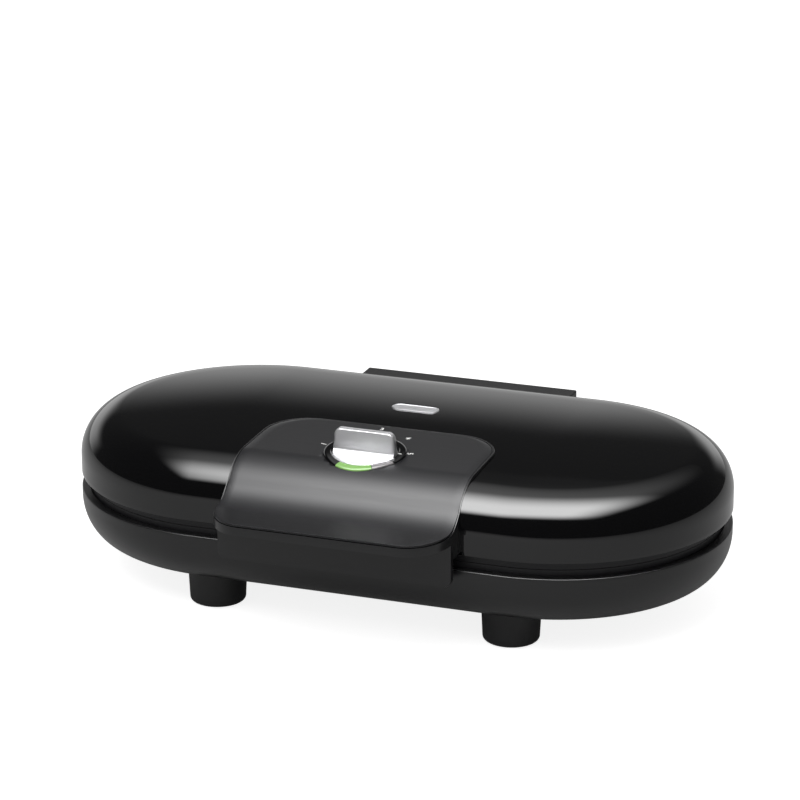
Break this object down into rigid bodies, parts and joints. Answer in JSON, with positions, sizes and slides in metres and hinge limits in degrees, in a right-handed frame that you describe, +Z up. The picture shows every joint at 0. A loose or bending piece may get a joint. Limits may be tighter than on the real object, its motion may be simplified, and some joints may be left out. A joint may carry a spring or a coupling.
{
  "type": "double waffle maker",
  "caption": "Stadium-shaped countertop waffle maker with a hinged domed lid, two heart waffle moulds, a bent metal handle panel with a thermostat knob, and feet.",
  "frame": {"origin": "on the surface it stands on, under the middle of the whole object's box", "axes": "+Z up, front with the handle at -Y, +X to the right seen from the front"},
  "size_m": [0.446, 0.303, 0.1282],
  "materials": {
    "base_black": "satin moulded",
    "lid_gloss_black": "polished, piano black",
    "handle_black": "satin moulded",
    "hinge_black": "fine matt grain",
    "foot_black": "matt moulded",
    "panel_metal": "dark brushed",
    "cast_nonstick": "cast, black non-stick coating",
    "element_steel": "heat-tinted tube",
    "reflector_sheet": "rolled sheet",
    "sheet_steel": "pressed",
    "screw_steel": "zinc plated",
    "ceramic": "unglazed white",
    "rubber_black": "moulded rubber",
    "green_lens": "clear green moulding",
    "clear_lens": "frosted clear moulding",
    "knob_silver": "satin brushed",
    "badge_metal": "satin",
    "lead_insulation": "silicone insulation"
  },
  "bodies": {
    "base": {"base_shell": "base_black", "lower_plate": "cast_nonstick", "lower_heater_left": "element_steel", "lower_heater_right": "element_steel", "lower_reflector": "reflector_sheet", "lower_terminal_block": "ceramic", "lower_thermal_fuse": "sheet_steel", "lower_plate_screws": "screw_steel", "lower_reflector_screws": "screw_steel", "foot_front_left": "foot_black", "foot_front_right": "foot_black", "foot_rear_left": "foot_black", "foot_rear_right": "foot_black", "foot_pad_front_left": "rubber_black", "foot_pad_front_right": "rubber_black", "foot_pad_rear_left": "rubber_black", "foot_pad_rear_right": "rubber_black", "foot_screws": "screw_steel", "hinge_pin_left": "screw_steel", "hinge_pin_right": "screw_steel", "cord_gland": "rubber_black", "base_wiring": "lead_insulation"},
    "lid": {"lid_shell": "lid_gloss_black", "upper_plate": "cast_nonstick", "upper_heater_left": "element_steel", "upper_heater_right": "element_steel", "upper_reflector": "reflector_sheet", "upper_terminal_block": "ceramic", "upper_thermal_fuse": "sheet_steel", "upper_plate_screws": "screw_steel", "upper_reflector_screws": "screw_steel", "handle_housing": "handle_black", "handle_panel": "panel_metal", "knob_bezel": "handle_black", "ready_lens": "green_lens", "power_lens": "clear_lens", "thermostat_body": "ceramic", "thermostat_bracket": "sheet_steel", "indicator_lamps": "clear_lens", "hinge_housing": "hinge_black", "hinge_screws": "screw_steel", "lid_wiring": "lead_insulation", "badge": "badge_metal"},
    "knob": {"knob": "knob_silver", "thermostat_shaft": "sheet_steel"}
  },
  "joints": [
    {"name": "lid_hinge", "type": "hinge", "parent": "base", "child": "lid", "pos_m": [0, 0.139, 0.066], "axis": [-1, 0, 0], "range_deg": [0, 95]},
    {"name": "knob_turn", "type": "hinge", "parent": "lid", "child": "knob", "pos_m": [0, -0.062, 0.11255], "axis": [0, -0.0314, 0.9995], "range_deg": [0, 180]}
  ]
}
